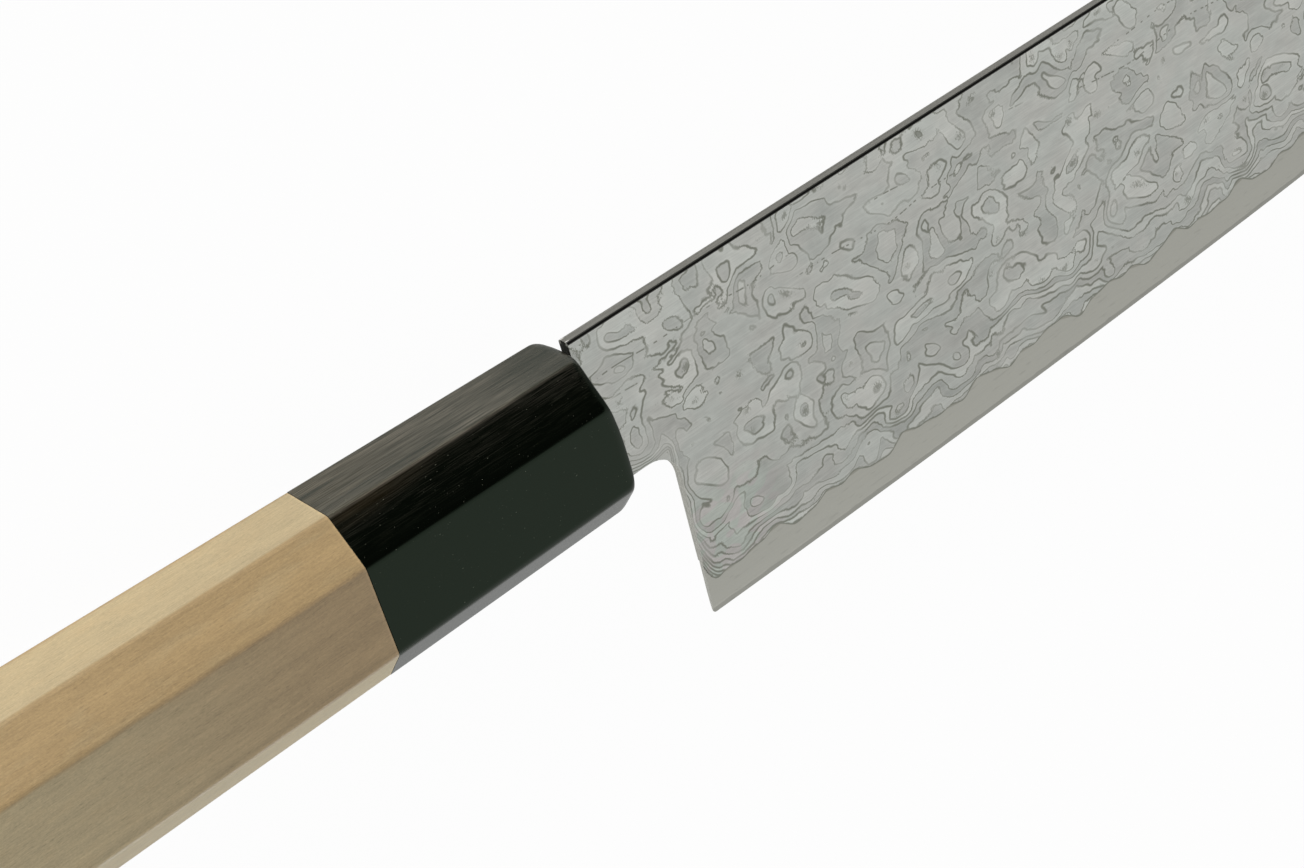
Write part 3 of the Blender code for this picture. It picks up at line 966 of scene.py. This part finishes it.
def layer_lines(s, place, depth, slope):
    """Thin lines where one layer comes to the surface, and a wide halo round them."""
    off_line = s.abs(s.minus(s.math("FRACT", depth), 0.5))
    distance = s.over(off_line, s.math("ADD", slope, LEAST_SLOPE))
    width = s.remap(s.noise(place, (4, 4, 4), 1.7), 0.35, 0.7, 0.07, 0.145)
    strength = s.remap(s.noise(place, (3.5, 3.5, 3.5), 9.4), 0.32, 0.62, 0.45, 1.0)
    widths_off = s.over(distance, width)
    return s.times(s.fade(widths_off, 0.3, 1.5), strength), s.fade(widths_off, 1.0, 6.0)


def past_heel_back(s, place):
    """0 at the heel's back, where the cladding's end runs up steeply, and 1 further on."""
    x, _, _ = s.separate(place)
    return s.remap(x, HEEL_X / MM + 0.4, HEEL_X / MM + 1.1)


def cladding_line(s, place):
    """The dark line where the cladding ends above the edge."""
    wobble = s.noise(place, (0.7, 0.7, 1), 4.4, detail=2)
    width = s.added(-0.02, (wobble, 0.5))
    line = s.fade(s.over(s.attribute("above"), width), 0.5, 1.5)
    return s.times(line, past_heel_back(s, place))


def smudges(s, place, dent, torn):
    """Soft dark spots in the middle of some dents."""
    spot = s.fade(s.added(dent, (torn, 0.6)), 0.08, 0.17)
    picked = s.remap(s.noise(place, (6, 6, 6), 6.9), 0.43, 0.52)
    return s.times(spot, picked, SMUDGE_SHARE)


def dash_line(s, place, line_y, seed):
    """One thin line at about a height, which wanders and breaks off."""
    x, y, _ = s.separate(place)

    def along(turns):
        """Noise that changes along the blade alone, so many times in a millimetre."""
        return s.plain_noise(s.combine(s.added(seed, (x, turns)), line_y))

    wander = s.added(line_y - DASH_WANDER / 2, (along(0.09), DASH_WANDER))
    thin = s.fade(s.abs(s.minus(y, wander)), 0.04, 0.14)
    broken = s.remap(along(1.5), 0.48, 0.56)
    stretches = s.remap(along(0.06), 0.5, 0.56)
    return s.times(thin, s.times(broken, stretches))


def dashes(s, place):
    """Thin broken lines along the blade, where the forged layers were folded."""
    return s.largest(*(dash_line(s, place, *line) for line in DASH_LINES))


def steel_color(s, place):
    """Nearly neutral steel, with a little green and red near the heel."""
    x, y, _ = s.separate(place)
    tint = s.remap(s.noise(place, (6, 5, 5), 8.8, detail=1), 0.35, 0.65)
    temper = s.remap(s.noise(place, (2.6, 1.6, 3), 1.2), 0.46, 0.56)
    near_heel = s.times(s.remap(x, 19, 26, 1.0, 0.0), s.remap(y, -22, -15, 1.0, 0.0))
    steel = s.mix(tint, *STEEL_COLORS)
    return s.mix(s.times(near_heel, HEEL_SHARE), steel, s.mix(temper, *HEEL_COLORS))


def patterned_steel(name, group, seed):
    """Etched layered steel: thin grey lines where one layer comes to the surface."""
    material, s, shader = new_material(name)
    flat_place = s.vector("MULTIPLY", knife_place(s), (1, 1, 0))
    place = s.vector("ADD", flat_place, (0, 0, seed))
    depth, dent, slope = field_slope(s, place, group)
    torn = s.centred(place, (0.16, 0.45, 1), detail=2, roughness=0.7)
    torn_zone = s.remap(s.noise(place, (4, 4, 4), 5.5), 0.42, 0.6, 0.06, 0.45)
    depth = s.added(depth, (torn, torn_zone))
    line, halo = layer_lines(s, place, depth, slope)
    dark = s.largest(
        line,
        smudges(s, place, dent, torn),
        cladding_line(s, place),
        dashes(s, place),
    )
    layer_tone = s.added(LAYER_SHIFT, (s.math("ROUND", depth), GOLDEN_SHARE))
    layer_zone = s.remap(s.noise(place, (9, 5, 5), 4.9), 0.4, 0.6, 0.14, 0.36)
    streaks = s.centred(place, (6, 0.25, 1), 6.1, detail=2)
    scratches = s.centred(place, (3.2, 0.12, 1), 8.3, detail=1)
    bands = s.centred(place, (16, 1.3, 1), 2.9, detail=1)
    mottle = s.centred(place, (2.4, 1.3, 1), 7.7, detail=3)
    grain = s.centred(place, (0.16, 0.16, 1), detail=1)
    x, y, _ = s.separate(place)
    tone = s.added(
        1.0,
        (s.minus(s.math("FRACT", layer_tone), 0.5), layer_zone),
        (streaks, 0.16),
        (scratches, 0.3),
        (bands, 0.14),
        (mottle, 0.24),
        (grain, 0.12),
        (halo, 0.06),
        # Painted light: the face lighter towards the tip and the spine
        (x, 0.0008),
        (y, 0.0019),
    )
    steel = s.brighten(steel_color(s, place), tone)
    s.fill(shader, {
        "Base Color": s.mix(s.times(dark, LINE_SHARE), steel, LINE_COLOR),
        "Metallic": 1.0,
        "Roughness": s.added(0.4, (streaks, 0.15), (dark, 0.1)),
    })
    return material


# Plain steel

CORE_COLOR = (0.53, 0.53, 0.483)
SHADOW_COLOR = (0.28, 0.27, 0.22)
SHADOW_SHARE = 0.5
GROUND_COLOR = (1.0, 1.0, 0.92)
RIM_LEVEL = 0.7
# The shoulder's back on the rim, darkened as painted shade
RIM_BACK_SHADE_LEVEL = 0.1
SPINE_LEVEL = 0.34
# Painted glint at the corner of spine, shoulder and face
PAINTED_GLINT_LEVEL = 0.9
# Near black: the polished round's painted dark reflection
EASE_DARK_REFLECTION_COLOR = (0.08, 0.08, 0.074)


def core_steel():
    """Plain hard steel: a satin band above a darker bevel, with faint lengthwise smudges."""
    material, s, shader = new_material("core_satin")
    place = knife_place(s)
    streaks = s.centred(place, (9, 0.35, 3), 1.2, detail=2)
    smudged = s.remap(s.noise(place, (2.6, 0.5, 3), 5.2, detail=1), 0.62, 0.78)
    grain = s.centred(place, (0.2, 0.2, 1), detail=1)
    waver = s.noise(place, (3, 0.8, 3), 7.9, detail=2)
    bevel = s.fade(s.added(s.attribute("rise"), (waver, -0.5)), 0.45, 0.62)
    tone = s.added(1.0, (streaks, 0.1), (smudged, -0.1), (bevel, -0.24), (grain, 0.05))
    steel = s.brighten(CORE_COLOR, tone)
    shadow = s.times(s.remap(s.attribute("above"), -0.22, 0.0), past_heel_back(s, place))
    s.fill(shader, {
        "Base Color": s.mix(s.times(shadow, SHADOW_SHARE), steel, SHADOW_COLOR),
        "Metallic": 1.0,
        "Roughness": s.added(0.36, (streaks, 0.12)),
    })
    return material


def ground_steel(name, level, back_level):
    """The blade's narrow sides: ground lengthwise and dull, the shoulder's back at its own level,
    which on the rim is a darker painted shade.

    The corner of spine, shoulder and face has a painted glint on both sides.
    """
    material, s, shader = new_material(name)
    place = knife_place(s)
    x, y, z = s.separate(place)
    back_end = SHOULDER_X / MM + 0.3
    spine = SPINE_Y / MM
    # Painted glint: a bright patch at the corner of the spine's rear end
    painted_glint = s.times(
        s.remap(x, back_end, back_end + 0.4, 1.0, 0.0),
        s.remap(y, spine - 0.7, spine - 0.3),
        s.remap(s.abs(z), 0.35, 0.6),
    )
    # Painted shade: on the rim the shoulder's back, facing the ferrule, is set darker by back_level
    here = s.remap(x, back_end - 0.1, back_end + 0.1, back_level, level)
    here = s.added(here, (painted_glint, PAINTED_GLINT_LEVEL))
    streaks = s.centred(place, (6, 0.3, 0.09), 1.4, detail=3, roughness=0.6)
    bands = s.centred(place, (30, 1, 0.3), 7.4, detail=1)
    tone = s.added(1.0, (streaks, 0.9), (bands, 0.4))
    s.fill(shader, {
        "Base Color": s.brighten(GROUND_COLOR, s.times(tone, here)),
        "Metallic": 1.0,
        "Roughness": s.added(0.46, (streaks, 0.3)),
        "Normal": s.bump(streaks, 0.01 * MM),
    })
    return material


def eased_steel():
    """The polished round between the spine and the face, near black as a painted dark reflection."""
    material, s, shader = new_material("polished_ease")
    streaks = s.noise(knife_place(s), (9, 0.2, 0.2), 3.8, detail=2)
    s.fill(shader, {
        "Base Color": s.brighten(EASE_DARK_REFLECTION_COLOR, s.math("ADD", streaks, 0.5)),
        "Metallic": 1.0,
        "Roughness": s.added(0.1, (streaks, 0.1)),
    })
    return material


# Horn: a level is a height in millimetres, less what the handle has grown behind its front

HORN_COLOR = (0.0009, 0.0015, 0.0008)
# Grey of the fibres, and of the painted sheen on the spine's facet
STRAND_AND_SHEEN_COLOR = (0.18, 0.165, 0.138)
HAIR_COLOR = (0.05, 0.052, 0.04)
# Amber tint along the upper edges at the back, partly a painted highlight
AMBER_AND_HIGHLIGHT_COLOR = (0.06, 0.042, 0.02)
FLECK_COLOR = (0.14, 0.15, 0.12)
HORN_GLOSS_TINT = (0.7, 1.0, 0.7)
HORN_IOR = 1.43
TOP_START = 10.3
TOP_END = 10.65


def horn():
    """Polished black horn: fine lengthwise fibres, a grey painted sheen on the spine's facet, a few
    flecks.
    """
    material, s, shader = new_material("black_horn")
    place = knife_place(s)
    x, y, z = s.separate(place)
    level = s.added(y, (x, HEIGHT_GAIN / 2))
    top = s.remap(level, TOP_START, TOP_END)
    fibres = s.noise(place, (9, 0.1, 0.1), 3.3, detail=2, roughness=0.6)
    strands = s.remap(fibres, 0.4, 0.6)
    veil = s.remap(s.noise(place, (22, 2, 2), 4.1, detail=2), 0.38, 0.62)
    hairs = s.remap(s.noise(place, (6, 0.08, 0.08), 9.3), 0.55, 0.7)
    flecks = s.remap(s.noise(place, (0.22, 0.13, 0.13), 6.6), 0.83, 0.9)
    # Painted sheen: grey strands on the spine's facet, less towards the front and the facet's middle
    top_sheen_share = s.times(
        s.added(0.3, (strands, 0.55)),
        s.added(0.5, (veil, 0.5)),
        s.remap(x, -15, -2, 1.0, 0.45),
        s.remap(s.abs(z), 0.5, 3.5, 0.75, 1.05),
    )
    side_share = s.times(veil, strands, s.remap(level, 7.5, 10.6, 0.0, 0.1))
    share = s.largest(s.times(top, top_sheen_share), side_share)
    hair_share = s.times(hairs, s.remap(level, 5.6, 8.5, 0.0, 0.2))
    # Amber tint below the upper edge towards the back, partly a painted highlight
    amber_and_highlight = s.times(s.remap(level, 8.6, 10.2), s.remap(x, -34, -16, 0.2, 0.0), veil)
    base = s.mix(share, HORN_COLOR, STRAND_AND_SHEEN_COLOR)
    base = s.mix(hair_share, base, HAIR_COLOR)
    base = s.mix(amber_and_highlight, base, AMBER_AND_HIGHLIGHT_COLOR)
    s.fill(shader, {
        "Base Color": s.mix(flecks, base, FLECK_COLOR),
        "Roughness": s.added(0.15, (s.minus(fibres, 0.5), 0.2), (top, 0.07)),
        "IOR": HORN_IOR,
        "Specular Tint": HORN_GLOSS_TINT,
        "Normal": s.bump(fibres, 0.006 * MM),
    })
    return material


# Wood and resin: a wood's colours are the plain one, the warm one and the darker one of painted shade

OCTAGON_COLORS = ((0.55, 0.46, 0.28), (0.44, 0.325, 0.17), (0.43, 0.315, 0.175))
DOWEL_COLORS = ((0.52, 0.4, 0.24), (0.5, 0.37, 0.2), (0.5, 0.38, 0.22))
RESIN_COLORS = ((0.5, 0.36, 0.16), (0.62, 0.48, 0.25))
OCTAGON_SEED = 2.5
DOWEL_SEED = 12.5
DIAGONAL_NORMAL = (0.685, 0.729)
DIAGONAL_GAIN = 0.0178
DIAGONAL_START = 10.25
WOOD_FRONT = -FERRULE_LENGTH / MM


def on_diagonal(s, x, y, z):
    """1 on the diagonal facets beside the spine, by how far a point lies out along their normal."""
    across = s.added(
        s.times(y, DIAGONAL_NORMAL[0]),
        (s.abs(z), DIAGONAL_NORMAL[1]),
        (x, DIAGONAL_GAIN),
    )
    return s.remap(across, DIAGONAL_START - 0.5, DIAGONAL_START - 0.1)


def pale_wood(name, colors, seed):
    """Fine pale wood with lengthwise fibres, faint growth rings and small pores.

    As painted light, the diagonal facets beside the spine are a little warmer than the other
    ones and the lower ones paler, a painted highlight runs along the front end, and painted
    shade makes the side facets darker towards the ferrule.
    """
    material, s, shader = new_material(name)
    plain_color, warm_color, ferrule_shade_color = colors
    place = knife_place(s)
    x, y, z = s.separate(place)
    bend = s.noise(place, (60, 14, 14), seed, detail=1)
    bent = s.vector("ADD", place, s.combine(0.0, s.times(bend, 6.0), s.times(bend, 4.0)))
    rings = s.centred(bent, (90, 2.4, 5), seed, detail=2)
    fibres = s.noise(place, (3.2, 0.2, 0.2), seed, detail=3, roughness=0.7)
    pores = s.remap(s.noise(place, (1.1, 0.11, 0.11), seed, detail=1), 0.62, 0.76)
    speckle = s.noise(place, (0.32, 0.16, 0.16), seed, detail=2, roughness=0.7)
    blotches = s.centred(place, (6, 2.2, 2.2), seed, detail=2)
    tone = s.added(
        1.0,
        (rings, 0.4),
        (s.minus(fibres, 0.5), 0.55),
        (s.minus(speckle, 0.5), 0.5),
        (blotches, 0.24),
        (pores, -0.2),
        # Painted highlight along the wood's front end
        (s.remap(x, WOOD_FRONT - 0.5, WOOD_FRONT - 0.2), 0.12),
        # Painted light: the lower diagonal facets paler
        (on_diagonal(s, x, s.times(y, -1.0), z), 0.2),
    )
    beside = s.added(s.abs(z), (x, WIDTH_GAIN / 2))
    # Painted shade: the side facets darker towards the ferrule
    ferrule_shade = s.times(s.remap(beside, 8.4, 8.65), s.remap(x, -85, -36))
    # Painted light: the diagonal facets beside the spine warmer, besides the random blotches
    blotches_and_facet_light = s.added(on_diagonal(s, x, y, z), (blotches, 1.2))
    wood = s.mix(ferrule_shade, s.mix(blotches_and_facet_light, plain_color, warm_color), ferrule_shade_color)
    s.fill(shader, {
        "Base Color": s.brighten(wood, tone),
        "Roughness": s.added(0.42, (s.minus(speckle, 0.5), 0.3)),
        "Normal": s.bump(s.math("ADD", fibres, s.times(speckle, 0.8)), 0.02 * MM),
    })
    return material


def resin():
    """Cast amber resin, a little cloudy."""
    material, s, shader = new_material("cast_resin")
    cloud = s.noise(knife_place(s), (2.5, 2.5, 2.5), detail=3)
    s.fill(shader, {
        "Base Color": s.mix(cloud, *RESIN_COLORS),
        "Roughness": s.added(0.3, (cloud, 0.15)),
    })
    return material


# Stage: a world's spot has the cosine of the angle where it starts and where it is full

KEY_DIRECTION = Vector((-0.5, 0.85, 0.15))
KEY_POWER = 13.7
KEY_SIZE = 0.7
KEY_COLOR = (1.0, 0.93, 0.87)
FILL_DIRECTION = Vector((0.1, -0.97, 0.16))
FILL_POWER = 2.4
FILL_SIZE = 0.3
LIGHT_DISTANCE = 1.1
WORLD_LEVEL = 0.25
GLOW_LEVEL = 0.66
GLOW_DIRECTION = Vector((0.46, -0.58, 0.65))
GLOW_SPOT = (0.5, 0.97)
DARK_SHARE = 0.12
DARK_DIRECTION = Vector((0.42, 0.48, 0.768))
DARK_SPOT = (0.848, 0.927)
BLACK = (0.0, 0.0, 0.0)
WHITE = (1.0, 1.0, 1.0)
WORLD_WHITE = (1.0, 1.0, 0.985)
FLOOR_COLOR = (0.9, 0.9, 0.9)
FLOOR_HALF = 3.0
SEEN_WHITE = 0.97
MIRRORED_WHITE = 0.35


def floor_white():
    """A pale matt floor that keeps the knife's shadow and shows white to camera and mirrors."""
    material, s, shader = new_material("white_floor")
    s.fill(shader, {"Base Color": FLOOR_COLOR, "Roughness": 0.9, "Specular IOR Level": 0.1})
    rays = s.node("LightPath", {}).outputs
    seen = s.largest(rays["Is Camera Ray"], rays["Is Transmission Ray"])
    white_share = s.largest(
        s.times(seen, SEEN_WHITE),
        s.times(rays["Is Glossy Ray"], MIRRORED_WHITE),
    )
    white = s.node("Emission", {"Color": WHITE, "Strength": 1.0})
    both = {0: white_share, 1: shader.outputs[0], 2: white.outputs[0]}
    blend = s.node("MixShader", both).outputs[0]
    s.put(material.node_tree.nodes["Material Output"].inputs[0], blend)
    return material


def build_floor():
    signs = ((-1, -1), (1, -1), (1, 1), (-1, 1))
    corners = [(FLOOR_HALF * a, FLOOR_HALF * b, 0) for a, b in signs]
    mesh = bpy.data.meshes.new("floor")
    mesh.from_pydata(corners, [], [(0, 1, 2, 3)])
    add_object("floor", mesh, floor_white())


def build_world():
    """A soft studio with one wide glow, one dark corner, and white for the camera's own rays."""
    world = bpy.data.worlds.new("studio")
    bpy.context.scene.world = world
    world.use_nodes = True
    s = Shade(world.node_tree)
    direction = s.node("TexCoord", {}).outputs["Generated"]
    glow = s.remap(s.toward(direction, GLOW_DIRECTION), *GLOW_SPOT, WORLD_LEVEL, GLOW_LEVEL)
    dark = s.remap(s.toward(direction, DARK_DIRECTION), *DARK_SPOT, 1.0, DARK_SHARE)
    camera_ray = s.node("LightPath", {}).outputs["Is Camera Ray"]
    studio = s.mix(s.times(glow, dark), BLACK, WORLD_WHITE)
    background = world.node_tree.nodes["Background"]
    s.fill(background, {"Color": s.mix(camera_ray, studio, WHITE), "Strength": 1.0})


def add_light(name, direction, power, size, color):
    """A square lamp that the camera doesn't see, aimed at the knife."""
    light = bpy.data.lights.new(name, "AREA")
    light.energy = power
    light.size = size
    light.color = color
    lamp = add_object(name, light)
    lamp.visible_camera = False
    lamp.location = ORIGIN + LIGHT_DISTANCE * direction.normalized()
    lamp.rotation_euler = (ORIGIN - lamp.location).to_track_quat("-Z", "Y").to_euler()


def build_lights():
    add_light("key", KEY_DIRECTION, KEY_POWER, KEY_SIZE, KEY_COLOR)
    add_light("fill", FILL_DIRECTION, FILL_POWER, FILL_SIZE, WHITE)


# Camera: the lens and the sensor's width are in millimetres, as Blender has them

CAMERA_PLACE = Vector((-126.2, 157.7, 233.4)) * MM
CAMERA_RIGHT = Vector((0.7515, -0.2513, 0.6100))
CAMERA_UP = Vector((0.5037, 0.8157, -0.2845))
CAMERA_FORWARD = Vector((0.4261, -0.5210, -0.7396))
CAMERA_LENS = 72.41
SENSOR_WIDTH = 36
NEAR_CLIP = 10 * MM


def build_camera():
    """The photograph's view: from above the handle's spine side, along the blade's right face."""
    lens = bpy.data.cameras.new("camera")
    lens.lens = CAMERA_LENS
    lens.sensor_width = SENSOR_WIDTH
    lens.clip_start = NEAR_CLIP
    camera = add_object("camera", lens)
    turn = Matrix((CAMERA_RIGHT, CAMERA_UP, -CAMERA_FORWARD)).transposed().to_4x4()
    turn.translation = ORIGIN + CAMERA_PLACE
    camera.matrix_world = turn
    bpy.context.scene.camera = camera


def dress_hidden_nodes():
    """The dowel and the resin inside the handle keep their solids."""
    looks = {
        "dowel": pale_wood("turned_dowel", DOWEL_COLORS, DOWEL_SEED),
        "tang_bedding": resin(),
    }
    for node, material in looks.items():
        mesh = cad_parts[node].data
        mesh.materials.clear()
        mesh.materials.append(material)


def main():
    field = layer_field()
    build_blade({
        "core": core_steel(),
        "rim": ground_steel("ground_rim", RIM_LEVEL, RIM_BACK_SHADE_LEVEL),
        "ease": eased_steel(),
        "spine": ground_steel("ground_spine", SPINE_LEVEL, SPINE_LEVEL),
        "right": patterned_steel("right_pattern", field, RIGHT_SEED),
        "left": patterned_steel("left_pattern", field, LEFT_SEED),
    })
    build_handle(horn(), pale_wood("pale_octagon", OCTAGON_COLORS, OCTAGON_SEED))
    dress_hidden_nodes()
    build_floor()
    build_world()
    build_lights()
    build_camera()
    bpy.context.scene.view_settings.view_transform = "Standard"


main()
